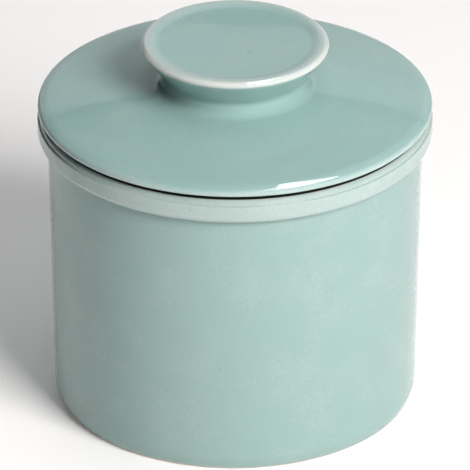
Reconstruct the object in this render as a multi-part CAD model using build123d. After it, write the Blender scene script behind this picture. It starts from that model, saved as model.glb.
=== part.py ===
from build123d import *
import os
from math import pi

# Butter crock (French butter keeper), millimetres, +Z up.
# The origin is on the turning axis, at the level of the table that the foot stands on.
# Every piece is a thrown form, so each one is a half-section (radius, height) turned about Z.

# ---- crock pot: the outer vessel that holds the water -------------------------------------
POT_HEIGHT = 86.0         # table to the top of the rim, which is the lid's seat
WALL_R_TOP = 51.4         # outside radius of the wall just under the collar
WALL_R_FOOT = 50.0        # outside radius of the wall just above the foot
WALL = 4.5                # wall thickness
FLOOR = 5.2               # thickness of the clay floor
FLOOR_ROUND = 6.0         # inside corner between floor and wall
COLLAR_PROUD = 2.75       # how far the rim collar stands out from the wall
COLLAR_HEIGHT = 7.8       # height of the collar, measured down from the rim
COLLAR_ROUND_TOP = 2.6    # outer rounding at the collar's top edge
COLLAR_ROUND_LOW = 2.3    # rounding that turns the collar back under to the wall
RIM_ROUND_IN = 1.6        # inner rounding of the rim
CREASE_ROUND = 0.4        # small radius in the crease under the collar
FOOT_TURN_IN = 1.1        # how far the foot is turned in under the wall
FOOT_TURN_HEIGHT = 3.0    # height over which it is turned in
FOOT_ROUND = 1.2          # rounding of the foot's outer edge
FOOT_RING = 4.0           # width of the unglazed foot ring
FOOT_RECESS = 1.8         # depth of the recess under the floor, inside the foot ring
FOOT_RECESS_SLOPE = 0.8   # how far the recess's side leans inward

# ---- lid cover: the flanged disc that closes the pot -----------------------------------------
LID_INSET = 0.15          # the flange stands in from the collar's face by this
LID_EDGE = 2.66           # height of the flange's edge above its seat, before rounding
LID_EDGE_ROUND = 1.7      # upper rounding of the flange's edge
LID_UNDER_ROUND = 0.6     # lower rounding of the flange's edge
LID_LIFT = 0.5            # the outer underside lifts off the rim by this, as a fine shadow gap
LID_LIFT_WIDTH = 2.8      # width of that lifted margin
LID_RISE = 4.95           # rise of the domed top from the edge to the knob's waist
LID_CROWN = 0.4           # bulge of the dome above a straight cone
LID_UNDERSIDE = 0.6       # height of the plain underside above the seat
STEP_CLEARANCE = 1.5      # radial gap between the locating ring and the pot's bore
STEP_DEPTH = 3.2          # how far the locating ring drops into the pot
STEP_WIDTH = 4.0          # width of the locating ring
STEP_ROUND = 1.2          # rounding of the locating ring's lower edges

# ---- lid knob: a solid flared button with a dished top ----------------------------------------
KNOB_R = 25.63            # radius of the knob's rim
KNOB_HEIGHT = 12.9        # lid top at the knob's waist to the knob's crest
KNOB_RIM_LAND = 0.4       # height of the rim's outer land under its upper rounding
KNOB_RIM_ROUND = 1.1      # upper rounding of the rim
KNOB_RIM_ROUND_LOW = 0.5  # lower rounding of the rim
KNOB_CREST_LAND = 2.1     # width of the crest that the upturned lid stands on, before rounding
KNOB_CREST_ROUND = 5.0    # soft rounding from the crest into the dish
DISH_SLOPE_WIDTH = 2.6    # width of the steeper bank inside the crest
DISH_SLOPE_DEPTH = 0.55   # drop of that bank
DISH_DEPTH = 0.45         # further drop from the bank to the dish's middle
KNOB_WAIST_R = 19.5       # narrowest radius of the knob
COVE_ROUND = 3.4          # radius of the hollow cove between the waist and the lid's dome
KNOB_FOOT_FLARE = 2.1     # how far the knob's foot, in the lid's socket, is wider than the waist

# ---- butter cup: the bell that hangs under the lid and holds the butter -----------------------------
WATER_GAP = 10.9          # radial gap between the pot's bore and the cup, at the lid
CUP_TAPER = 1.2           # how much less the cup's radius is at its open mouth
CUP_WALL = 3.8            # wall thickness
CUP_CLEARANCE = 27.0      # height of the mouth above the pot's floor
CUP_LIP = 1.7             # rounding of the mouth's lip

# ---- joints: leather-hard pieces are set in a keyed groove and luted with slip ---------------------------
SLIP = 0.4                # thickness of the film of slip in each joint
SOCKET_DEPTH = 1.6        # depth of the socket in the lid's top for the knob's foot
GROOVE_DEPTH = 1.6        # depth of the groove in the lid's underside for the cup's top edge
BEAD = 1.6                # size of the bead of slip smoothed into the cup's corners

# ---- derived levels and radii -------------------------------------------------------------------
floor_top = FOOT_RECESS + FLOOR
bore_r_top = WALL_R_TOP - WALL
bore_r_foot = WALL_R_FOOT - WALL
collar_r = WALL_R_TOP + COLLAR_PROUD
collar_low = POT_HEIGHT - COLLAR_HEIGHT
collar_round_low = min(COLLAR_ROUND_LOW, 0.84 * COLLAR_PROUD)   # leaves room for the crease
foot_r = WALL_R_FOOT - FOOT_TURN_IN

seat_z = POT_HEIGHT
lid_r = collar_r - LID_INSET
lid_edge_z = seat_z + LID_EDGE
edge_wall = LID_EDGE - LID_LIFT                                 # both edge roundings share this
edge_round = min(LID_EDGE_ROUND, 0.79 * edge_wall)
under_round = min(LID_UNDER_ROUND, 0.28 * edge_wall)
step_r = bore_r_top - STEP_CLEARANCE
step_low = seat_z - STEP_DEPTH
underside_z = seat_z + LID_UNDERSIDE

cup_r_top = bore_r_top - WATER_GAP
cup_r_mouth = cup_r_top - CUP_TAPER
cup_r_in = cup_r_top - CUP_WALL
cup_mouth_z = floor_top + CUP_CLEARANCE
cup_lip = min(CUP_LIP, 0.46 * CUP_WALL)                         # two lip roundings fit in the wall
groove_top = underside_z + GROOVE_DEPTH
groove_r_out = cup_r_top + SLIP
groove_r_in = cup_r_in - SLIP

lid_top_z = lid_edge_z + LID_RISE
socket_r = KNOB_WAIST_R + KNOB_FOOT_FLARE + SLIP
socket_z = lid_top_z - SOCKET_DEPTH
waist_z = lid_top_z + COVE_ROUND
crest_z = lid_top_z + KNOB_HEIGHT


def turned(outline, roundings):
    """Close a half-section, round the named corners and turn it about the Z axis."""
    section = make_face(outline)
    for corner, radius in roundings:
        section = fillet(section.vertices().sort_by_distance(corner)[0], radius)
    return revolve(Plane.XZ * section, Axis.Z).clean()


def disc(radius, low, high):
    """A plain turned disc between two heights."""
    return Pos(0, 0, (low + high) / 2) * Cylinder(radius, high - low)


def lid_dome():
    """The gently crowned line of the lid's top, from the knob's waist out to the edge."""
    return SagittaArc((KNOB_WAIST_R, lid_top_z), (lid_r, lid_edge_z), LID_CROWN)


def neck():
    """Clay and slip together from the socket up to the knob's waist, with the cove at its foot."""
    waist_corner = (KNOB_WAIST_R, lid_top_z)
    rest = Polyline((lid_r, lid_edge_z), (lid_r, socket_z), (0, socket_z), (0, waist_z),
                    (KNOB_WAIST_R, waist_z), waist_corner)
    body = turned(lid_dome() + rest, [(waist_corner, COVE_ROUND)])
    return body & disc(KNOB_WAIST_R + COVE_ROUND, socket_z, waist_z)


def crock_pot():
    """Water vessel: tapering wall, rim collar, flat floor and a turned foot ring."""
    floor_corner = (bore_r_foot, floor_top)
    bore_top = (bore_r_top, POT_HEIGHT)
    collar_top = (collar_r, POT_HEIGHT)
    collar_under = (collar_r, collar_low)
    crease = (WALL_R_TOP, collar_low)
    foot_out = (foot_r, 0)
    recess_edge = (foot_r - FOOT_RING, 0)
    recess_top = (foot_r - FOOT_RING - FOOT_RECESS_SLOPE, FOOT_RECESS)
    outline = Polyline((0, floor_top), floor_corner, bore_top, collar_top, collar_under, crease,
                       (WALL_R_FOOT, FOOT_TURN_HEIGHT), foot_out, recess_edge, recess_top,
                       (0, FOOT_RECESS), close=True)
    return turned(outline, [(floor_corner, FLOOR_ROUND), (bore_top, RIM_ROUND_IN),
                            (collar_top, COLLAR_ROUND_TOP), (collar_under, collar_round_low),
                            (crease, CREASE_ROUND), (foot_out, FOOT_ROUND)])


def lid_cover():
    """Domed flange with a seat, a locating ring, a socket for the knob and a groove for the cup."""
    edge_top = (lid_r, lid_edge_z)
    edge_low = (lid_r, seat_z + LID_LIFT)
    ring_out = (step_r, step_low)
    ring_in = (step_r - STEP_WIDTH, step_low)
    rest = Polyline(edge_top, edge_low, (lid_r - LID_LIFT_WIDTH, seat_z), (step_r, seat_z),
                    ring_out, ring_in, (step_r - STEP_WIDTH, underside_z), (0, underside_z),
                    (0, lid_top_z), (KNOB_WAIST_R, lid_top_z))
    cover = turned(lid_dome() + rest, [(edge_top, edge_round), (edge_low, under_round),
                                       (ring_out, STEP_ROUND), (ring_in, STEP_ROUND)])
    socket = disc(socket_r, socket_z, waist_z)
    groove = disc(groove_r_out, step_low, groove_top) - disc(groove_r_in, step_low, groove_top)
    return cover - socket - groove


def lid_knob():
    """Solid flared knob: dished top, rounded rim, narrow waist and a foot for the socket."""
    crest_in = (KNOB_R - KNOB_CREST_LAND, crest_z)
    dish_edge = (KNOB_R - KNOB_CREST_LAND - DISH_SLOPE_WIDTH, crest_z - DISH_SLOPE_DEPTH)
    dish_middle = (0, crest_z - DISH_SLOPE_DEPTH - DISH_DEPTH)
    rim_top = (KNOB_R, crest_z)
    rim_low = (KNOB_R, crest_z - KNOB_RIM_ROUND - KNOB_RIM_LAND)
    dish = SagittaArc(dish_middle, dish_edge, -DISH_DEPTH / 4)
    head = Polyline(dish_edge, crest_in, rim_top, rim_low, (KNOB_WAIST_R, waist_z),
                    (0, waist_z), dish_middle)
    flare = turned(dish + head, [(crest_in, KNOB_CREST_ROUND), (rim_top, KNOB_RIM_ROUND),
                                 (rim_low, KNOB_RIM_ROUND_LOW)])
    foot = neck() & disc(KNOB_WAIST_R + KNOB_FOOT_FLARE, socket_z + SLIP, waist_z)
    return (flare + foot).clean()


def knob_luting_slip():
    """Slip under and round the knob's foot, smoothed out as the lower edge of the cove."""
    return neck() - lid_knob() - lid_cover()


def butter_cup():
    """Open bell: a plain tube with a rounded mouth, whose top edge goes into the lid's groove."""
    cup_top = groove_top - SLIP
    mouth_out = (cup_r_mouth, cup_mouth_z)
    mouth_in = (cup_r_mouth - CUP_WALL, cup_mouth_z)
    outline = Polyline((cup_r_in, cup_top), (cup_r_top, cup_top), mouth_out, mouth_in, close=True)
    return turned(outline, [(mouth_out, cup_lip), (mouth_in, cup_lip)])


def cup_luting_slip():
    """Slip that fills the groove round the cup's top edge, with a bead in each corner."""
    bead_low = underside_z - BEAD
    outline = Polyline((groove_r_in, groove_top), (groove_r_in, underside_z),
                       (cup_r_in - BEAD, underside_z), (cup_r_in, bead_low),
                       (cup_r_top, bead_low), (cup_r_top + BEAD, underside_z),
                       (groove_r_out, underside_z), (groove_r_out, groove_top), close=True)
    return turned(outline, []) - butter_cup() - lid_cover()


def cylinder_litres(radius, height):
    """Contents of a round space, in litres."""
    return pi * radius ** 2 * height / 1e6


PIECES = [crock_pot, lid_cover, lid_knob, knob_luting_slip, butter_cup, cup_luting_slip]

os.makedirs("parts", exist_ok=True)
for piece in PIECES:
    shape = piece()
    export_step(shape, f"parts/{piece.__name__}.step")
    box = shape.bounding_box()
    print(f"{piece.__name__}: {len(shape.solids())} solid, {shape.volume / 1000:.1f} ml of clay,"
          f" z {box.min.Z:.2f} to {box.max.Z:.2f}, across {box.size.X:.2f}")

butter = cylinder_litres(cup_r_in - CUP_TAPER / 2, underside_z - cup_mouth_z)
water = cylinder_litres((bore_r_top + bore_r_foot) / 2, CUP_CLEARANCE)
print(f"butter space {butter:.3f} l, water space below the cup's mouth {water:.3f} l")
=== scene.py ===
# %% [markdown]
# # A celadon butter crock, thrown on the wheel
# The object is a stoneware butter crock. A round pot holds water, and a domed lid carries a flared knob
# on top and an open butter cup underneath, which dips into the water and seals the butter from the air.
# Every piece was turned on a wheel, so every piece is a half-section spun round one axis. The CAD frame
# already fixes where each piece is and how large it is. What is left to Blender is the surface: soft
# rounded edges, the faint unevenness of thrown clay, and the glaze that thins on edges and pools in
# hollows.

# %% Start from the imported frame
import math
import bpy
import numpy as np
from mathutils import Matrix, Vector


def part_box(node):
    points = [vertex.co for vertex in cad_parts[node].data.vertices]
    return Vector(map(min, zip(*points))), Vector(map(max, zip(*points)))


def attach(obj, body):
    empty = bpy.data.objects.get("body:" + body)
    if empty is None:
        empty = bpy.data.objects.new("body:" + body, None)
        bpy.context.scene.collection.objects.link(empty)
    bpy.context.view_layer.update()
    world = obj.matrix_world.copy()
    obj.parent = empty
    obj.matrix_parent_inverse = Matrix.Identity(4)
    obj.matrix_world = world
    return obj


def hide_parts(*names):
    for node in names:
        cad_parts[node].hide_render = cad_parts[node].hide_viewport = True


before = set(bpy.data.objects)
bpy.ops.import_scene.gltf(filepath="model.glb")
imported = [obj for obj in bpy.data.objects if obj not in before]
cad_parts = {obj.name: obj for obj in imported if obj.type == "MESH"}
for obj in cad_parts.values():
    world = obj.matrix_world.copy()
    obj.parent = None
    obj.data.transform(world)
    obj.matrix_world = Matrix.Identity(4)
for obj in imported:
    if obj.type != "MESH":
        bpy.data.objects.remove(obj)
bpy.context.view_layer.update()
MM = 0.001
scene = bpy.context.scene
print("CAD nodes:", sorted(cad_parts))

# %% [markdown]
# ## Sizes
# The frame gives each node's box, which fixes its outer radius and its heights. A box can't say how thick
# a wall is or how round an edge is, so those are named as they are needed, in millimetres, as a potter
# would note them. All outlines are worked out from these values and the boxes.

# %% Read the pieces' outer sizes from the frame
def outer(node):
    """Outer radius, lowest and highest level of a round node, in millimetres."""
    low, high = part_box(node)
    return (high.x - low.x) / 2 / MM, low.z / MM, high.z / MM


collar_r, table_z, seat_z = outer("crock_pot")
lid_r, step_low, _ = outer("lid_cover")
knob_r, knob_foot_z, crest_z = outer("lid_knob")
slip_r, socket_z, _ = outer("knob_luting_slip")
cup_r, cup_mouth_z, cup_top_z = outer("butter_cup")
bead_r, bead_low, groove_top = outer("cup_luting_slip")
print(f"pot {collar_r:.2f} mm radius, lid {lid_r:.2f}, knob {knob_r:.2f}, cup {cup_r:.2f}")

# %% [markdown]
# ## Outlines with rounded corners
# A thrown edge is never sharp. Each outline is a short list of corners, each with its radius, its height
# and how much it is rounded. A Bevel modifier could round the finished mesh, but it rounds every edge
# alike, and here each edge has its own softness. So the helper turns each rounding into an arc first, and
# then divides long runs, so that a wall has enough points to carry the faint rings that fingers leave.

# %% Divide the long runs of a line
RUN_STEP = 0.8                  # mm between points along a plain run


def divided(points):
    """The same line with extra points wherever two neighbours are far apart."""
    line = [points[0]]
    for point in points[1:]:
        parts = max(1, math.ceil(np.linalg.norm(point - line[-1]) / RUN_STEP))
        start = line[-1]
        line += [start + (point - start) * (k + 1) / parts for k in range(parts)]
    return np.array(line)


print(len(divided(np.array([[0.0, 0.0], [0.0, 10.0]]))), "points on a plain run of 10 mm")

# %% Round the corners of a half-section
ARC_STEP = math.radians(9)      # one point for each 9 degrees of a rounding


def rounded(corners, closed=False):
    """Corners (radius, height, rounding) in mm to a smooth line of (radius, height) points."""
    points = []
    count = len(corners)
    for i, (*here, rounding) in enumerate(corners):
        here = np.array(here)
        if rounding == 0 or (not closed and i in (0, count - 1)):
            points.append(here)
            continue
        back = np.array(corners[i - 1][:2]) - here
        ahead = np.array(corners[(i + 1) % count][:2]) - here
        back, ahead = back / np.linalg.norm(back), ahead / np.linalg.norm(ahead)
        half = math.acos(np.clip(back @ ahead, -1, 1)) / 2
        middle = (back + ahead) / np.linalg.norm(back + ahead)
        centre = here + middle * rounding / math.sin(half)
        start = here + back * rounding / math.tan(half) - centre
        sweep = math.pi - 2 * half
        turn = sweep if start[1] * back[0] - start[0] * back[1] > 0 else -sweep
        steps = max(2, math.ceil(sweep / ARC_STEP))
        for step in range(steps + 1):
            angle = turn * step / steps
            points.append(centre + np.array([start[0] * math.cos(angle) - start[1] * math.sin(angle),
                                             start[0] * math.sin(angle) + start[1] * math.cos(angle)]))
    if closed:
        points.append(points[0])
    return divided(points)


print(len(rounded([(0, 0, 0), (10, 0, 2), (10, 10, 0)])), "points round one corner and its two sides")

# %% [markdown]
# ## The pot's outline
# The pot is a straight-sided cylinder that widens a little upwards. A collar stands proud of the wall just
# below the mouth, and a shallow ledge on top of it leads to the flat seat of the lid. Underneath, a foot
# ring keeps the floor off the table. Each outline runs so that the clay lies on its left-hand side, which
# makes the faces point outwards. The pot's line goes from under the floor, round the bare foot, up the
# wall, over the collar and down inside.

# %% Draw the pot's outline
CRISP = 0.3                                                 # mm, the rounding of an edge that was only wiped
WALL_R_TOP, WALL_R_FOOT, WALL = 51.4, 50.0, 4.5             # mm, outside of the wall, and its thickness
FOOT_R, FOOT_RING, FOOT_RISE, FOOT_CURVE = 48.9, 4.0, 3.0, 5.0      # mm, the ring and the curve above it
RECESS, FLOOR, FLOOR_CURVE = 1.8, 5.2, 6.0                  # mm, hollow below, floor, inside corner
COLLAR_HEIGHT, COLLAR_ROUND = 7.8, 2.3                      # mm, depth of the collar and its lower rounding
LEDGE, LEDGE_DROP, SEAT_FALL, SEAT_WIDTH = 0.55, 2.3, 0.8, 4.5      # mm, the step and slope on the collar
foot_edge = [(0, RECESS, 0), (FOOT_R - FOOT_RING - 0.8, RECESS, CRISP), (FOOT_R - FOOT_RING, table_z, 0.25),
             (FOOT_R, table_z, 1.2), (WALL_R_FOOT, FOOT_RISE, FOOT_CURVE)]
collar = [(WALL_R_TOP, seat_z - COLLAR_HEIGHT, 0.4), (collar_r, seat_z - COLLAR_HEIGHT, COLLAR_ROUND),
          (collar_r, seat_z - LEDGE_DROP, 0.35), (collar_r - LEDGE, seat_z - LEDGE_DROP + 0.2, 0.2),
          (collar_r - LEDGE - 0.15, seat_z - SEAT_FALL, 1.6), (collar_r - SEAT_WIDTH, seat_z, 2.0)]
inside = [(WALL_R_TOP - WALL, seat_z, 1.6), (WALL_R_FOOT - WALL, RECESS + FLOOR, FLOOR_CURVE),
          (0, RECESS + FLOOR, 0)]
pot_line = rounded([*foot_edge, *collar, *inside])
print(len(pot_line), "points on the pot, wall", WALL, "mm")

# %% [markdown]
# ## The lid's curved top, and the cove at the knob
# The lid's top is slightly crowned and falls from the knob to the edge. Where the knob was luted on, a
# wet finger ran round the joint and left a hollow cove. Both curves are shared by three pieces, the lid,
# the knob and the slip between them, so each is one function that all three read.

# %% Work out the crowned top and the cove
LID_EDGE, LID_RISE, LID_CROWN = 2.66, 4.95, 0.4     # mm, edge above the seat, fall of the top, its bulge
WAIST_R, COVE = 19.5, 3.4                           # mm, the knob's narrowest radius, the cove's radius
lid_edge_z = seat_z + LID_EDGE
lid_top_z = lid_edge_z + LID_RISE


def dome(radius):
    """Height of the lid's crowned top at a radius."""
    along = (radius - WAIST_R) / (lid_r - WAIST_R)
    return lid_top_z - LID_RISE * along + 4 * LID_CROWN * along * (1 - along)


def cove(first_r, last_r, steps=12):
    """Points of the hollow at the knob's foot, between two radii, as (radius, height, rounding)."""
    slope = math.atan((dome(slip_r - 0.5) - dome(slip_r + 0.5)))
    centre_z = dome(slip_r) + COVE * math.cos(slope)
    radii = np.linspace(first_r, last_r, steps)
    return [(r, centre_z - math.sqrt(max(0.0, COVE ** 2 - (WAIST_R + COVE - r) ** 2)), 0) for r in radii]


print(f"lid top at the waist {dome(WAIST_R):.2f} mm, at the edge {dome(lid_r):.2f} mm")

# %% [markdown]
# ## The lid's outline
# The lid rests on the seat with a ring below that keeps it centred. Its edge is lifted a little off the
# seat, which opens the dark line under it, and the clay inside that gap is painted near-black as painted
# shadow. The upper edge was rounded with a sponge. A groove under the lid takes the top of the butter
# cup, and a socket on top takes the foot of the knob.

# %% Draw the lid's edge, ring and groove
LID_LIFT, LIFT_WIDTH = 0.5, 5.2         # mm, how far and how wide the edge is lifted off the seat
EDGE_BEVEL, EDGE_ROUND = 2.4, 4.5       # mm, the soft slope where the sponge rounded the upper edge
UNDERSIDE, STEP_CLEARANCE, STEP_WIDTH, STEP_ROUND = 0.6, 1.5, 4.0, 1.2      # mm, underside and ring
CUP_WALL, SLIP = 3.8, 0.4               # mm, the cup's wall, and the slip in each joint
underside_z = seat_z + UNDERSIDE
step_r = WALL_R_TOP - WALL - STEP_CLEARANCE
lid_edge = [(lid_r - LIFT_WIDTH, seat_z, CRISP), (lid_r - LIFT_WIDTH + 0.3, seat_z + LID_LIFT, CRISP),
            (lid_r, seat_z + LID_LIFT, 0.6), (lid_r, lid_edge_z - 0.6, 1.2),
            (lid_r - EDGE_BEVEL, dome(lid_r - EDGE_BEVEL), EDGE_ROUND)]
ring_below = [(step_r - STEP_WIDTH, underside_z, 0.5), (step_r - STEP_WIDTH, step_low, STEP_ROUND),
              (step_r, step_low, STEP_ROUND), (step_r, seat_z, 0.4)]
groove = [(cup_r - CUP_WALL - SLIP, underside_z, 0), (cup_r - CUP_WALL - SLIP, groove_top, 0),
          (cup_r + SLIP, groove_top, 0), (cup_r + SLIP, underside_z, 0)]
print("the ring under the lid has a radius of", round(step_r, 2), "mm")

# %% Draw the lid's whole outline
FOOT_FLARE = 2.1        # mm, how far the knob's foot spreads beyond its waist
BEVEL_END = 0.9         # mm further in than the bevel, where the crowned top begins
foot_flare_r = WAIST_R + FOOT_FLARE
socket_r = foot_flare_r + SLIP


def dome_line(inner_r, steps=36):
    """Points of the lid's top from where its edge rounding ends, inwards to a radius."""
    return [(r, dome(r), 0) for r in np.linspace(lid_r - EDGE_BEVEL - BEVEL_END, inner_r, steps)]


lid_line = rounded([(0, underside_z, 0), *groove, *ring_below, *lid_edge, *dome_line(socket_r),
                    (socket_r, socket_z, 0), (0, socket_z, 0)])
print(len(lid_line), "points on the lid")

# %% [markdown]
# ## The knob's outline
# The knob flares from a narrow waist to a wide rim that fingertips hook under. Its top is a shallow dish
# inside a rounded crest, which is how a thumb leaves it on the wheel. It is solid, and its foot stands in
# the lid's socket.

# %% Draw the knob's outline
CREST_LAND, RIM_EDGE = 2.1, 1.5                     # mm, width of the crest, height of the rim's edge
BANK_WIDTH, BANK_DEPTH, DISH_DEPTH = 2.6, 0.55, 0.45        # mm, the slope inside the crest and the dish
WAIST_ROUND = 2.2       # mm, the soft turn where the waist flares into the knob
COVE_END = 0.4          # mm out from the waist where the cove hands over to that turn
DISH_POINTS = 48
waist_z = lid_top_z + COVE
dish_r = knob_r - CREST_LAND - BANK_WIDTH
dish = [(r, crest_z - BANK_DEPTH - DISH_DEPTH * (1 - (r / dish_r) ** 2), 0)
        for r in np.linspace(dish_r, 0, DISH_POINTS)]
knob_top = [(WAIST_R, waist_z, WAIST_ROUND), (knob_r, crest_z - RIM_EDGE, 0.6),
            (knob_r, crest_z - RIM_EDGE / 2, 0.6), (knob_r - 0.9, crest_z, 1.1),
            (knob_r - CREST_LAND - 0.4, crest_z, 3.0), *dish]
knob_line = rounded([(0, knob_foot_z, 0), (foot_flare_r, knob_foot_z, 0),
                     *cove(foot_flare_r, WAIST_R + COVE_END), *knob_top])
print(len(knob_line), "points on the knob")

# %% [markdown]
# ## The cup and the two joints of slip
# Slip is clay thinned with water, the potter's glue. One film of it lines the socket under the knob and
# comes out into the cove. The other fills the groove round the top of the butter cup and is smoothed into
# a small bead on both sides. The cup tapers towards its open mouth. The cup and its bead are rings that
# never touch the axis, so their outlines close on themselves.

# %% Draw the slip under the knob
COVE_POINTS = 8
slip_line = rounded([
    (0, socket_z, 0), (socket_r, socket_z, 0), (socket_r, dome(socket_r), 0),
    *cove(slip_r, foot_flare_r, COVE_POINTS), (foot_flare_r, knob_foot_z, 0), (0, knob_foot_z, 0)])
print(len(slip_line), "points on the slip under the knob")

# %% Draw the cup and the bead at its top
CUP_TAPER, LIP_ROUND, BEAD = 1.2, 1.7, 1.6      # mm, narrowing at the mouth, its lip, reach of the bead
cup_lip = [(cup_r - CUP_WALL - CUP_TAPER, cup_mouth_z, LIP_ROUND),
           (cup_r - CUP_TAPER, cup_mouth_z, LIP_ROUND)]
cup_line = rounded([(cup_r, cup_top_z, 0), (cup_r - CUP_WALL, cup_top_z, 0), *cup_lip], closed=True)
bead_line = rounded([
    (cup_r + SLIP, groove_top, 0), (cup_r - CUP_WALL - SLIP, groove_top, 0),
    (cup_r - CUP_WALL - SLIP, underside_z, 0), (cup_r - CUP_WALL - BEAD, underside_z, 0),
    (cup_r - CUP_WALL, bead_low, 0), (cup_r - CUP_WALL, cup_top_z, 0), (cup_r, cup_top_z, 0),
    (cup_r, bead_low, 0), (bead_r, underside_z, 0), (cup_r + SLIP, underside_z, 0)], closed=True)
print(len(cup_line), "points on the cup,", len(bead_line), "on the bead")

# %% [markdown]
# ## Where the glaze is thin and where it pools
# Molten glaze is pulled off sharp outer edges and gathers in hollows. So an edge fires pale, and a cove
# turns deeper and greener. It could be painted by hand, but it follows from the outline's bend: these
# cells measure how strongly the line turns, blur it over a few millimetres of run, and keep it as a
# number from 0 (thin) to 1 (deep). The lid is glazed after it is put together, so the glaze of its five
# pieces is read from one skin: underside, cup, ring, edge, dome, cove, knob.

# %% Draw the skin that the finished lid is glazed in
lid_skin = rounded([
    (0, underside_z, 0), (cup_r - CUP_WALL - BEAD, underside_z, 0), (cup_r - CUP_WALL, bead_low, 0),
    *cup_lip, (cup_r, bead_low, 0), (bead_r, underside_z, 0), *ring_below, *lid_edge, *dome_line(slip_r),
    *cove(slip_r, WAIST_R + COVE_END)[1:], *knob_top])
print(len(lid_skin), "points on the lid's skin")

# %% Even an amount out along an outline
EDGE_REACH = 1.1        # mm over which surface tension evens the glaze out
LEAST_LENGTH = 1e-6     # mm, stands for the length of a step between two equal points


def spread_weight(line):
    """How much each point of an outline shares its glaze with each other point, by distance along it."""
    lengths = np.maximum(np.linalg.norm(np.diff(line, axis=0), axis=1), LEAST_LENGTH)
    travel = np.concatenate([[0], np.cumsum(lengths)])
    return np.exp(-0.5 * ((travel[:, None] - travel[None, :]) / EDGE_REACH) ** 2)


def evened(line, amount):
    """An amount along an outline, averaged over the same few millimetres of run."""
    weight = spread_weight(line)
    return weight @ amount / weight.sum(axis=1)


print("a point of the pot shares its glaze with about",
      round((spread_weight(pot_line) > 0.5).sum(axis=1).mean(), 1), "points")

# %% Measure the bend along an outline
PLAIN_DEPTH = 0.5                                       # glaze depth on a flat run
# The knob's force is the strongest; on its rounded crest this paints the glaze paler, partly as thin glaze
# and partly as painted highlight.
POT_FORCE, LID_FORCE, KNOB_FORCE = 0.8, 0.3, 1.2        # mm3, how strongly a tight bend thins the glaze


def glaze_depth(line, force):
    """Glaze thickness, 0 to 1, at each point of an outline, from the blurred bend of the line."""
    steps = np.diff(line, axis=0)
    heading = np.unwrap(np.arctan2(steps[:, 1], steps[:, 0]))
    bend = np.zeros(len(line))
    bend[1:-1] = np.diff(heading)
    tightness = spread_weight(line) @ bend / (EDGE_REACH * math.sqrt(2 * math.pi))
    return np.clip(PLAIN_DEPTH - force * tightness ** 3, 0, 1)


def coated(line, skin, force):
    """Glaze thickness of each point of a piece, read from the nearest point of the skin it is glazed in."""
    apart = np.linalg.norm(line[:, None, :] - skin[None, :, :], axis=2)
    return glaze_depth(skin, force)[apart.argmin(axis=1)]


pot_depth = glaze_depth(pot_line, POT_FORCE)
print(f"glaze depth on the pot runs from {pot_depth.min():.2f} to {pot_depth.max():.2f}")

# %% [markdown]
# ## Where the clay is bare, painted with the gap's shadow, or paler
# Glaze would weld the pot to the kiln shelf and the lid to the pot, so the foot ring and the seat are
# wiped clean before firing and stay bare. Just inside the lid's edge, on the seat and under the lid, the
# bare clay is painted near-black: painted shadow for the deep shade of the narrow gap between them. The
# collar and the crest of the knob are painted a little paler, partly as thinner glaze and partly as
# painted sheen for the light their rounded edges catch.

# %% Name the zones of each piece
FOOT_WIPE, SEAT_WIPE = 0.6, 0.9     # mm, how high the foot is wiped, and how deep the seat
GAP_SHADOW_FROM_EDGE = 1.3                    # mm in from the lid's edge to where the painted gap shadow begins
GAP_SHADOW_WIDTH = 1.9                   # mm, how far in the painted gap shadow reaches


def pot_zones(r, z):
    """Bare foot and seat, the seat's outer band painted near-black as gap shadow, and a paler collar: partly
    thin glaze, partly painted sheen.
    """
    if z < FOOT_WIPE:
        return ("bare",)
    if z > seat_z - SEAT_WIPE and WALL_R_TOP - WALL + 1.2 < r < lid_r - GAP_SHADOW_FROM_EDGE:
        return ("bare", "gap_shadow") if r > lid_r - GAP_SHADOW_FROM_EDGE - GAP_SHADOW_WIDTH else ("bare",)
    # the collar is painted paler here: partly thin glaze, partly painted sheen
    return ("thin_and_sheen",) if z > seat_z - COLLAR_HEIGHT and r > WALL_R_TOP else ()


def lid_zones(r, z):
    """The lid's edge is wiped bare only underneath, where it faces the seat, and painted near-black there as
    the gap's shadow.
    """
    if step_r + 0.3 < r < lid_r - 0.5 and z < seat_z + LID_LIFT + 0.15:
        return ("bare", "gap_shadow") if r > lid_r - GAP_SHADOW_FROM_EDGE - GAP_SHADOW_WIDTH else ("bare",)
    return ()


def knob_zones(r, z):
    """The crest of the knob is painted paler: partly thinner glaze, partly painted highlight for the light
    it catches.
    """
    return ("thin_and_sheen",) if r > knob_r - CREST_LAND - 0.8 and z > crest_z - RIM_EDGE else ()


def all_glazed(r, z):
    """A piece with no zones of its own."""
    return ()


print(sum("bare" in pot_zones(r, z) for r, z in pot_line), "points of the pot are bare clay")

# %% [markdown]
# ## The potter's wheel
# A wheel is a rule, so it suits Geometry Nodes: take the outline, make a grid with one row for each
# outline point, and wrap its columns round the axis. One tree turns all six pieces. Its inputs are
# the ring marks left by fingers, the slight out-of-round of soft clay, an edge that warped in the kiln
# and the touch of a fingernail. A Screw modifier could spin the outline too, but it could not add those
# marks or carry the glaze depth to every point.

# %% A helper that adds a node with its settings and links
MATH, XYZ = "ShaderNodeMath", "ShaderNodeCombineXYZ"


def add(tree, kind, inputs=(), **settings):
    """Add a node, set its properties, then fill its sockets, by name or in order, with values or links."""
    node = tree.nodes.new(kind)
    for name, value in settings.items():
        setattr(node, name, value)
    usable = [socket for socket in node.inputs if socket.enabled]
    for key, value in (inputs if isinstance(inputs, dict) else dict(enumerate(inputs))).items():
        socket = usable[key] if isinstance(key, int) else next(item for item in usable if item.name == key)
        if isinstance(value, bpy.types.Node):
            value = next(item for item in value.outputs if item.enabled)
        if isinstance(value, bpy.types.NodeSocket):
            tree.links.new(value, socket)
        else:
            socket.default_value = value
    return node


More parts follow.
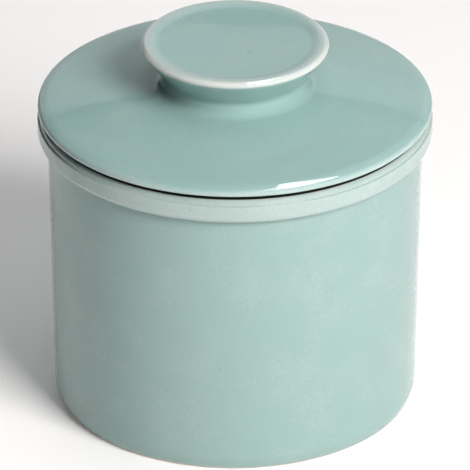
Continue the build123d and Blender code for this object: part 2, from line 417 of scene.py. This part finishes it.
# %% Press faint finger rings and out-of-round into the radius
UNEVEN_RISE = 60.0      # how fast the unevenness changes up the wall, for each metre
UNEVEN_SCALE = 0.9      # and round it, for each radius
NEAR_AXIS = 20 * MM     # closer to the axis than this, the marks fade out


def finger_marks(tree, given, radius, height, turn, cosine, sine):
    """The radius after the potter's fingers: a spiral of shallow rings and a slight oval."""
    spread = add(tree, XYZ, [add(tree, MATH, [height, UNEVEN_RISE], operation="MULTIPLY"), cosine, sine])
    uneven = add(tree, "ShaderNodeTexNoise", {"Vector": spread, "Scale": UNEVEN_SCALE, "Detail": 2.0})
    climb = add(tree, MATH, [height, given["Ring Spacing"]], operation="DIVIDE")
    spiral = add(tree, MATH, [climb, add(tree, MATH, [turn, math.tau], operation="DIVIDE")], operation="ADD")
    wave = add(tree, MATH, [add(tree, MATH, [spiral, math.tau], operation="MULTIPLY")], operation="SINE")
    groove_in = add(tree, MATH, [wave, 0.5, -0.5], operation="MULTIPLY_ADD")
    groove_in = add(tree, MATH, [groove_in, given["Ring Depth"]], operation="MULTIPLY")
    groove_in = add(tree, MATH, [groove_in, uneven], operation="MULTIPLY")
    oval = add(tree, MATH, [uneven, given["Out of Round"]], operation="MULTIPLY")
    marks = add(tree, MATH, [groove_in, oval], operation="SUBTRACT")
    far = add(tree, MATH, [radius, NEAR_AXIS], operation="DIVIDE")
    fade = add(tree, MATH, [far, 1.0], operation="MINIMUM")
    return add(tree, MATH, [radius, add(tree, MATH, [marks, fade], operation="MULTIPLY")], operation="ADD")


# %% Lift one side of the edge, as a warped lid has it
def edge_lift(tree, given, radius, turn):
    """How far a point rises: more towards the edge, and most at the warp's angle."""
    beyond = add(tree, MATH, [radius, given["Warp From"]], operation="SUBTRACT")
    margin = add(tree, MATH, [beyond, 0.0], operation="MAXIMUM")
    off_angle = add(tree, MATH, [turn, given["Warp Angle"]], operation="SUBTRACT")
    facing = add(tree, MATH, [off_angle], operation="COSINE")
    lean = add(tree, MATH, [facing, 0.5, 0.5], operation="MULTIPLY_ADD")
    rise = add(tree, MATH, [margin, given["Edge Warp"]], operation="MULTIPLY")
    return add(tree, MATH, [rise, lean], operation="MULTIPLY")


# %% Press a nail mark into the dish of the knob
MARK_X, MARK_Y, MARK_R = 3.5, -4.9, 1.3     # mm, where a fingernail touched, and how wide the dent is
MARK_BELOW = 3.0                            # mm below the crest, under which nothing is dented


def nail_mark(tree, given, east, north, height):
    """How far a point is pressed down by the fingernail."""
    off_x = add(tree, MATH, [east, MARK_X * MM], operation="SUBTRACT")
    off_y = add(tree, MATH, [north, MARK_Y * MM], operation="SUBTRACT")
    squares = [add(tree, MATH, [side, side], operation="MULTIPLY") for side in (off_x, off_y)]
    off = add(tree, MATH, [add(tree, MATH, squares, operation="ADD")], operation="SQRT")
    share = add(tree, MATH, [off, MARK_R * MM], operation="DIVIDE")
    near = add(tree, MATH, [add(tree, MATH, [1.0, share], operation="SUBTRACT"), 0.0], operation="MAXIMUM")
    upper = add(tree, MATH, [height, (crest_z - MARK_BELOW) * MM], operation="GREATER_THAN")
    pressed = add(tree, MATH, [near, upper], operation="MULTIPLY")
    return add(tree, MATH, [pressed, given["Mark Depth"]], operation="MULTIPLY")


# %% Carry the outline's layers to the surface, weld it and shade it
# the third layer is painted shadow: near-black on the clay inside the gap under the lid's edge
LAYERS = ("glaze", "bare", "gap_shadow")
WELD = 1e-6                     # m, closer points than this become one, at the seam and on the axis
CREASE = math.radians(32)       # an edge that turns by more than this stays crisp


def finished(tree, given, surface, row):
    """The turned surface with its layers, closed, smooth-shaded and glazed."""
    for name in LAYERS:
        kept = add(tree, "GeometryNodeInputNamedAttribute", {"Name": name}, data_type="FLOAT")
        read = add(tree, "GeometryNodeSampleIndex",
                   {"Geometry": given["Outline"], "Value": kept, "Index": row}, data_type="FLOAT")
        surface = add(tree, "GeometryNodeStoreNamedAttribute",
                      {"Geometry": surface, "Name": name, "Value": read}, data_type="FLOAT", domain="POINT")
    closed = add(tree, "GeometryNodeMergeByDistance", {"Geometry": surface, "Distance": WELD})
    sharp = add(tree, MATH, [add(tree, "GeometryNodeInputMeshEdgeAngle"), CREASE], operation="GREATER_THAN")
    smooth = add(tree, "GeometryNodeSetShadeSmooth", {"Geometry": closed, "Shade Smooth": True})
    edged = add(tree, "GeometryNodeSetShadeSmooth",
                {"Geometry": smooth, "Selection": sharp, "Shade Smooth": False}, domain="EDGE")
    real = add(tree, "GeometryNodeRealizeInstances", [edged])
    return add(tree, "GeometryNodeSetMaterial", {"Geometry": real, "Material": given["Finish"]})


# %% Put the wheel together
WHEEL_INPUTS = [("Rows", "NodeSocketInt"), ("Columns", "NodeSocketInt"), ("Ring Depth", "NodeSocketFloat"),
                ("Ring Spacing", "NodeSocketFloat"), ("Out of Round", "NodeSocketFloat"),
                ("Edge Warp", "NodeSocketFloat"), ("Warp From", "NodeSocketFloat"),
                ("Warp Angle", "NodeSocketFloat"), ("Mark Depth", "NodeSocketFloat"),
                ("Finish", "NodeSocketMaterial")]


def build_wheel():
    """The tree that spins an outline into a thrown piece."""
    tree = bpy.data.node_groups.new("potters_wheel", "GeometryNodeTree")
    tree.interface.new_socket("Outline", in_out="INPUT", socket_type="NodeSocketGeometry")
    for name, kind in WHEEL_INPUTS:
        tree.interface.new_socket(name, in_out="INPUT", socket_type=kind)
    tree.interface.new_socket("Piece", in_out="OUTPUT", socket_type="NodeSocketGeometry")
    given = add(tree, "NodeGroupInput").outputs

    columns = add(tree, MATH, [given["Columns"], 1.0], operation="ADD")
    grid = add(tree, "GeometryNodeMeshGrid", {"Vertices X": columns, "Vertices Y": given["Rows"]})
    index = add(tree, "GeometryNodeInputIndex")
    middle = add(tree, MATH, [index, 0.5], operation="ADD")
    share = add(tree, MATH, [middle, given["Rows"]], operation="DIVIDE")
    column = add(tree, MATH, [share], operation="FLOOR")
    before = add(tree, MATH, [column, given["Rows"]], operation="MULTIPLY")
    row = add(tree, MATH, [index, before], operation="SUBTRACT")
    part = add(tree, MATH, [column, given["Columns"]], operation="DIVIDE")
    turn = add(tree, MATH, [part, math.tau], operation="MULTIPLY")
    cosine, sine = add(tree, MATH, [turn], operation="COSINE"), add(tree, MATH, [turn], operation="SINE")

    on_line = add(tree, "GeometryNodeSampleIndex", {"Geometry": given["Outline"], "Index": row,
                                                    "Value": add(tree, "GeometryNodeInputPosition")},
                  data_type="FLOAT_VECTOR")
    place = add(tree, "ShaderNodeSeparateXYZ", [on_line]).outputs
    wide = finger_marks(tree, given, place["X"], place["Z"], turn, cosine, sine)
    east = add(tree, MATH, [wide, cosine], operation="MULTIPLY")
    north = add(tree, MATH, [wide, sine], operation="MULTIPLY")
    lifted = add(tree, MATH, [place["Z"], edge_lift(tree, given, place["X"], turn)], operation="ADD")
    level = add(tree, MATH, [lifted, nail_mark(tree, given, east, north, place["Z"])], operation="SUBTRACT")
    spot = add(tree, XYZ, [east, north, level])
    thrown = add(tree, "GeometryNodeSetPosition", {"Geometry": grid, "Position": spot})
    add(tree, "NodeGroupOutput", [finished(tree, given, thrown, row)])
    return tree


wheel = build_wheel()
print("the wheel has", len(wheel.nodes), "nodes")

# %% [markdown]
# ## Glaze and clay
# Celadon is a glassy feldspar glaze, tinted blue-green by a little iron and fired in a smoky kiln, on a
# pale stoneware body. It is dipped on and melts flat, so it is glossy, with an index of refraction near
# 1.5. What colour is seen depends on how deep the glass lies over the clay: whitish where it is thin,
# blue-green where it pools. Real glass over clay could be modelled as two layers, but a colour that
# follows the glaze depth gives the same look, and it survives the export. To the eye the glaze adds faint
# clouds, a haze of tiny bubbles, and a few iron specks that bled through from the clay.

# %% Colours as sRGB hex values
def colour(code):
    """An sRGB hex value as a linear colour."""
    parts = [int(code[i:i + 2], 16) / 255 for i in (0, 2, 4)]
    return (*[p / 12.92 if p <= 0.04045 else ((p + 0.055) / 1.055) ** 2.4 for p in parts], 1.0)


# The lid's glaze colour is the pot's celadon set lighter, partly as painted light making up for lamp light
# taken off the lid's top.
THIN_GLAZE, POT_GLAZE, LID_GLAZE_LIT, POOLED_GLAZE = "c8cecb", "8ba7a3", "90b0ad", "7ca69e"
# The near-black clay colour below is painted shadow for the narrow gap between the lid's edge and the seat.
BARE_CLAY, CLAY_SHADE, GAP_SHADOW_PAINT, IRON_SPECK = "d8cbc0", "c4b2a4", "20241f", "5c5a50"
print("glaze from", THIN_GLAZE, "thin to", POOLED_GLAZE, "pooled")

# %% Turn the glaze depth into a colour, with clouds and bubbles
CLOUD, CLOUD_DRIFT = 14.0, 0.16     # mm across a cloud in the glaze, and how far it shifts the depth
FLECK, FLECK_DRIFT = 0.8, 0.14      # mm across the finest mottling, where small bubbles cloud the glass
THIN_AT, POOLED_AT = 0.05, 0.95     # glaze depths at which the palest and the deepest colour are reached


def glass_colour(tree, where, full):
    """The glaze's colour at each point, from its depth."""
    depth = add(tree, "ShaderNodeAttribute", attribute_name="glaze").outputs["Fac"]
    cloud = add(tree, "ShaderNodeTexNoise", {"Vector": where, "Scale": 1 / (CLOUD * MM), "Detail": 4.0})
    drift = add(tree, MATH, [cloud, CLOUD_DRIFT, -CLOUD_DRIFT / 2], operation="MULTIPLY_ADD")
    fine = add(tree, "ShaderNodeTexNoise", {"Vector": where, "Scale": 1 / (FLECK * MM), "Detail": 3.0})
    fleck = add(tree, MATH, [fine, FLECK_DRIFT, -FLECK_DRIFT / 2], operation="MULTIPLY_ADD")
    mottle = add(tree, MATH, [drift, fleck], operation="ADD")
    ramp = add(tree, "ShaderNodeValToRGB", [add(tree, MATH, [depth, mottle], operation="ADD")])
    stops = ramp.color_ramp.elements
    stops[0].position, stops[0].color = THIN_AT, colour(THIN_GLAZE)
    stops[1].position, stops[1].color = POOLED_AT, colour(POOLED_GLAZE)
    stops.new(PLAIN_DEPTH).color = colour(full)
    return ramp


# %% Scatter the iron specks
SPECK_APART = 4.0       # mm between iron specks
SPECK_SHARE = 0.06      # the widest speck's radius, as a share of that distance
SPECK_LEAST = 0.01      # specks narrower than this share don't show
SPECK_FORCE = 0.55      # how dark a speck is through the glaze


def specked(tree, where, glass):
    """The glaze's colour with small iron specks of varied size."""
    cells = add(tree, "ShaderNodeTexVoronoi", {"Vector": where, "Scale": 1 / (SPECK_APART * MM)})
    chance = add(tree, "ShaderNodeSeparateColor", [cells.outputs["Color"]])
    reach = add(tree, MATH, [chance, SPECK_SHARE, -SPECK_LEAST], operation="MULTIPLY_ADD")
    speck = add(tree, MATH, [cells, reach], operation="LESS_THAN")
    faint = add(tree, MATH, [speck, SPECK_FORCE], operation="MULTIPLY")
    return add(tree, "ShaderNodeMix", {"Factor": faint, "A": glass, "B": colour(IRON_SPECK)},
               data_type="RGBA")


# %% Put glaze and clay into one material
GRIT = 0.7                                      # mm between the grains of the bare clay
GLAZE_ROUGHNESS, CLAY_ROUGHNESS = 0.07, 0.82    # fired glass is smooth, bare stoneware is matt
GLAZE_IOR = 1.54
SWELL, SWELL_HEIGHT, GRIT_HEIGHT = 6.0, 0.05, 0.08      # mm, slow waves of the glaze, relief of the grit


def celadon_glaze(name, full):
    """Reduction-fired celadon on stoneware: glossy, mottled, paler on edges, over matt pale clay."""
    material = bpy.data.materials.new(name)
    material.use_nodes = True
    tree = material.node_tree
    shader = tree.nodes["Principled BSDF"]
    where = add(tree, "ShaderNodeTexCoord").outputs["Object"]
    bare = add(tree, "ShaderNodeAttribute", attribute_name="bare").outputs["Fac"]
    gap_shadow = add(tree, "ShaderNodeAttribute", attribute_name="gap_shadow").outputs["Fac"]
    glass = specked(tree, where, glass_colour(tree, where, full))

    grit = add(tree, "ShaderNodeTexNoise", {"Vector": where, "Scale": 1 / (GRIT * MM), "Detail": 3.0})
    clay = add(tree, "ShaderNodeMix", {"Factor": grit, "A": colour(BARE_CLAY), "B": colour(CLAY_SHADE)},
               data_type="RGBA")
    # bare clay inside the gap under the lid's edge is darkened to near-black: painted shadow
    clay = add(tree, "ShaderNodeMix", {"Factor": gap_shadow, "A": clay, "B": colour(GAP_SHADOW_PAINT)}, data_type="RGBA")
    surface = add(tree, "ShaderNodeMix", {"Factor": bare, "A": glass, "B": clay}, data_type="RGBA")
    tree.links.new(next(item for item in surface.outputs if item.enabled), shader.inputs["Base Color"])
    gloss = add(tree, MATH, [bare, CLAY_ROUGHNESS - GLAZE_ROUGHNESS, GLAZE_ROUGHNESS],
                operation="MULTIPLY_ADD")
    tree.links.new(gloss.outputs[0], shader.inputs["Roughness"])
    shader.inputs["IOR"].default_value = GLAZE_IOR

    swell = add(tree, "ShaderNodeTexNoise", {"Vector": where, "Scale": 1 / (SWELL * MM), "Detail": 2.0})
    waves = add(tree, "ShaderNodeBump", {"Height": swell, "Distance": SWELL_HEIGHT * MM})
    rough = add(tree, MATH, [grit, bare], operation="MULTIPLY")
    grain = add(tree, "ShaderNodeBump", {"Height": rough, "Distance": GRIT_HEIGHT * MM, "Normal": waves})
    tree.links.new(grain.outputs[0], shader.inputs["Normal"])
    return material


pot_glaze = celadon_glaze("pot_celadon", POT_GLAZE)
# the lid's copy of the glaze is lighter than the pot's, partly as painted light on its top
lid_glaze_lit = celadon_glaze("lid_celadon_lit", LID_GLAZE_LIT)
print("glazes:", pot_glaze.name, lid_glaze_lit.name)

# %% [markdown]
# ## Throw the pieces
# Each outline becomes a line of points in the XZ plane with its glaze depth on it. The wheel turns it,
# the evaluated result is kept as a plain mesh, and that mesh stands for its CAD node. The pot gets finger
# rings and a slight oval, the lid's edge a slight warp, and the knob the touch of a fingernail.

# %% Lay an outline down with its layers
RIM_THIN_AND_SHEEN = 0.14     # how much paler the collar and the crest of the knob are left: partly thinner glaze, partly painted sheen


def lay_down(name, line, skin, force, zones):
    """An outline as a mesh of points and edges that carries its glaze, bare and painted gap-shadow layers.
    """
    blank = bpy.data.meshes.new(name + "_outline")
    blank.from_pydata([(r * MM, 0, z * MM) for r, z in line], [(i, i + 1) for i in range(len(line) - 1)], [])
    amounts = {zone: np.array([float(zone in zones(r, z)) for r, z in line])
               for zone in ("bare", "gap_shadow", "thin_and_sheen")}
    # the paler collar and knob crest are partly thinner glaze, partly painted sheen
    amounts["glaze"] = coated(line, skin, force) - RIM_THIN_AND_SHEEN * evened(line, amounts["thin_and_sheen"])
    for layer in LAYERS:
        kept = blank.attributes.new(layer, "FLOAT", "POINT")
        kept.data.foreach_set("value", amounts[layer].astype(np.float32))
    return blank


# %% Turn an outline on the wheel
COLUMNS = 192                   # faces round each piece
RING_SPACING = 3.1              # mm that the fingers climb in one turn
WARP_START = 1.0                # mm outside the lid's ring, where its edge begins to lift
WARP_ANGLE = math.radians(-60)
STILL = {"Ring Depth": 0.0, "Out of Round": 0.0, "Edge Warp": 0.0, "Mark Depth": 0.0}


def throw(name, line, skin, force, node, body, finish, marks, zones):
    """Turn one outline on the wheel and put the finished mesh in place of its CAD node."""
    raw = bpy.data.objects.new(name + "_blank", lay_down(name, line, skin, force, zones))
    scene.collection.objects.link(raw)
    modifier = raw.modifiers.new("wheel", "NODES")
    modifier.node_group = wheel
    sockets = {item.name: item.identifier for item in wheel.interface.items_tree if item.in_out == "INPUT"}
    settings = {"Rows": len(line), "Columns": COLUMNS, "Ring Spacing": RING_SPACING * MM,
                "Warp From": (step_r + WARP_START) * MM, "Warp Angle": WARP_ANGLE, "Finish": finish,
                **STILL, **marks}
    for label, value in settings.items():
        modifier[sockets[label]] = value
    mesh = bpy.data.meshes.new_from_object(raw.evaluated_get(bpy.context.evaluated_depsgraph_get()))
    mesh.name = name
    bpy.data.objects.remove(raw)
    piece = bpy.data.objects.new(name, mesh)
    scene.collection.objects.link(piece)
    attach(piece, body)
    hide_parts(node)
    print(f"{name}: {len(mesh.polygons)} faces")


# %% Throw all six
POT_RINGS, CUP_RINGS, POT_OVAL = 0.06 * MM, 0.05 * MM, 0.05 * MM
LID_WARP = 0.03         # rise for each unit of distance towards the edge
NAIL_DEPTH = 0.25 * MM

throw("crock_pot_thrown", pot_line, pot_line, POT_FORCE, "crock_pot", "crock", pot_glaze,
      {"Ring Depth": POT_RINGS, "Out of Round": POT_OVAL}, pot_zones)
throw("lid_cover_thrown", lid_line, lid_skin, LID_FORCE, "lid_cover", "lid", lid_glaze_lit,
      {"Edge Warp": LID_WARP}, lid_zones)
throw("lid_knob_thrown", knob_line, lid_skin, KNOB_FORCE, "lid_knob", "lid", lid_glaze_lit,
      {"Mark Depth": NAIL_DEPTH}, knob_zones)
throw("knob_slip_cove", slip_line, lid_skin, LID_FORCE, "knob_luting_slip", "lid", lid_glaze_lit,
      {}, all_glazed)
throw("butter_cup_thrown", cup_line, lid_skin, LID_FORCE, "butter_cup", "lid", lid_glaze_lit,
      {"Ring Depth": CUP_RINGS}, all_glazed)
throw("cup_slip_bead", bead_line, lid_skin, LID_FORCE, "cup_luting_slip", "lid", lid_glaze_lit,
      {}, all_glazed)

# %% [markdown]
# ## The floor
# The crock stands on a sheet of matt white paper. Paper is rough and bright, and the little light of its
# own that it is given here stands for the white room round the sheet. A round sheet reaches far enough
# that no view shows its edge close to the crock.

# %% Lay the floor
FLOOR_REACH, FLOOR_SIDES = 1.5, 64      # m from the middle to the edge, and how many sides it has
PAPER_WHITE, PAPER_ROUGHNESS, ROOM_LIGHT = "f6f6f6", 0.9, 0.09

floor_mesh = bpy.data.meshes.new("studio_floor")
angles = np.linspace(0, math.tau, FLOOR_SIDES + 1)[:-1]
floor_mesh.from_pydata([(FLOOR_REACH * math.cos(a), FLOOR_REACH * math.sin(a), 0) for a in angles], [],
                       [list(range(FLOOR_SIDES))])
studio_floor = bpy.data.objects.new("studio_floor", floor_mesh)
scene.collection.objects.link(studio_floor)
paper = bpy.data.materials.new("white_paper_sweep")
paper.use_nodes = True
for socket, value in {"Base Color": colour(PAPER_WHITE), "Roughness": PAPER_ROUGHNESS,
                      "Emission Color": colour("ffffff"), "Emission Strength": ROOM_LIGHT}.items():
    paper.node_tree.nodes["Principled BSDF"].inputs[socket].default_value = value
floor_mesh.materials.append(paper)
print("floor reaches", FLOOR_REACH, "m")

# %% [markdown]
# ## The lights
# A glossy pot is lit with large soft lights, because it mirrors them. A strong key stands at the front
# right. In a studio its glare on the glaze would be cut with a polariser, and here it is simply kept out
# of reflections, while a wide faint sheet in front of it gives the sheen. A long narrow light overhead
# draws the thin glints on the rims. Two pale cards at the back are mirrored in the far half of the lid,
# and weak fills open up the shadows.

# %% A function that sets up one soft light
WHITE, WARM_WHITE = "ffffff", "fffaf8"


def softbox(name, azimuth, elevation, distance, width, height, radiance, tint=WHITE, clay=True, glaze=True):
    """A soft light that faces the crock. A radiance of 1 is a sheet of white paper in full light.
    It may light the clay, show in the glaze, or both."""
    light = bpy.data.lights.new(name, "AREA")
    light.shape, light.size, light.size_y = "RECTANGLE", width, height
    light.energy = radiance * math.pi * width * height
    light.color = colour(tint)[:3]
    lamp = bpy.data.objects.new(name, light)
    lamp.visible_diffuse, lamp.visible_glossy = clay, glaze
    az, el = math.radians(azimuth), math.radians(elevation)
    aim = np.array([0, 0, seat_z * MM / 2])
    away = np.array([math.cos(el) * math.sin(az), -math.cos(el) * math.cos(az), math.sin(el)])
    lamp.location = aim + away * distance
    lamp.rotation_euler = (math.pi / 2 - el, 0, az)
    scene.collection.objects.link(lamp)
    return lamp


# %% Set up the lights: azimuth and elevation in degrees, then distance, width and height in metres
softbox("key_softbox", 37, 36, 1.5, 0.7, 0.7, 20.0, tint=WARM_WHITE, glaze=False)
softbox("key_diffuser", 36, 34, 1.5, 1.3, 1.2, 0.8, clay=False)
softbox("front_fill", -10, 42, 1.5, 0.7, 1.0, 0.2)
softbox("back_card", 180, 15.5, 1.8, 1.7, 1.0, 0.6)
softbox("back_wall", 180, 46, 1.5, 1.4, 0.7, 0.2)
strip = softbox("overhead_strip", 0, 90, 1.05, 0.25, 0.7, 15.0, clay=False)
strip.location.x, strip.location.y = 0.275, 0.05
top_fill = softbox("overhead_fill", 0, 90, 1.05, 0.8, 0.8, 1.5, glaze=False)
top_fill.location.x, top_fill.location.y = 0.22, 0.05
softbox("back_fill", 192, 32, 1.6, 1.2, 0.8, 1.2, glaze=False)
print(len(bpy.data.lights), "soft lights")

# %% Dim the room and keep the colours as they are
ROOM_STRENGTH = 0.01
world = bpy.data.worlds.new("studio")
scene.world = world
world.use_nodes = True
world.node_tree.nodes["Background"].inputs["Color"].default_value = colour(WHITE)
world.node_tree.nodes["Background"].inputs["Strength"].default_value = ROOM_STRENGTH
scene.view_settings.view_transform = "Standard"
print("room light", ROOM_STRENGTH)

# %% [markdown]
# ## The camera
# A pot looks right when it is seen from well back through a long lens, as a maker shows it: the sides
# stay upright, and the lid and the knob show as flat ovals. The camera looks down a little, so that the
# top of the lid and the dish of the knob can be seen.

# %% Place the camera
CAMERA_DISTANCE, CAMERA_ELEVATION = 2.493, math.radians(28.26)      # m from the aim, and the angle above it
AIM_Z = 0.04636                             # m above the table, a little below the pot's middle
LENS, SENSOR, FAR_CLIP = 692.7, 36.0, 20.0  # mm, mm, m

camera_data = bpy.data.cameras.new("camera")
camera_data.lens, camera_data.sensor_width, camera_data.clip_end = LENS, SENSOR, FAR_CLIP
camera = bpy.data.objects.new("camera", camera_data)
camera.location = (0, -CAMERA_DISTANCE * math.cos(CAMERA_ELEVATION),
                   AIM_Z + CAMERA_DISTANCE * math.sin(CAMERA_ELEVATION))
camera.rotation_euler = (math.pi / 2 - CAMERA_ELEVATION, 0, 0)
scene.collection.objects.link(camera)
scene.camera = camera
print("camera", CAMERA_DISTANCE, "m away")

# %% [markdown]
# ## Finish

# %% Bring the scene up to date and finish
bpy.context.view_layer.update()
